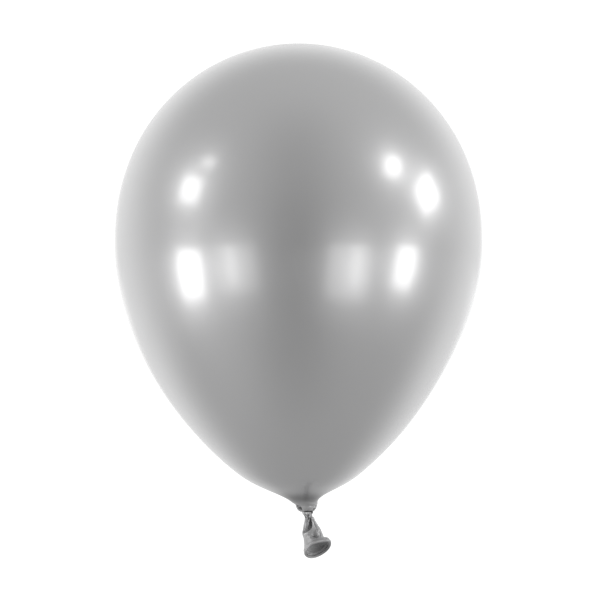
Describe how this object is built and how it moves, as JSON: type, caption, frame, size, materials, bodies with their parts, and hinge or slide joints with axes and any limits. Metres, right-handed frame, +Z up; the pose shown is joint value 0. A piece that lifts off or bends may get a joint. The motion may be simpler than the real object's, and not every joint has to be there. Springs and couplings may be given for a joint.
{
  "type": "metallic latex party balloon",
  "caption": "Inflated teardrop latex balloon with a silver metallic finish, tied in its own neck, with a short flared tail below the knot.",
  "frame": {"origin": "centre of the neck, at the level where the inflated skin ends at the knot", "axes": "+Z up from the neck to the crown, -Y to the front, where the tail's mouth turns, +X to the right seen from the front"},
  "size_m": [0.28, 0.28, 0.3926],
  "materials": {
    "stretched_latex": "silver metallic pigment in stretched latex, glossy",
    "slack_latex": "silver metallic pigment in slack latex, satin",
    "rolled_latex": "thick rolled latex rim, satin"
  },
  "bodies": {
    "balloon": {"envelope": "stretched_latex", "neck_stem": "slack_latex", "knot_wrap": "slack_latex", "knot_crossing": "slack_latex"},
    "tail": {"tail": "slack_latex", "mouth_bead": "rolled_latex"}
  },
  "joints": [
    {"name": "tail_swing", "type": "hinge", "parent": "balloon", "child": "tail", "pos_m": [0.0015, 0, -0.0106], "axis": [1, 0, 0], "range_deg": [-50, 50], "stiffness_Nm_per_rad": 0.0002, "springref_deg": -0.42}
  ]
}
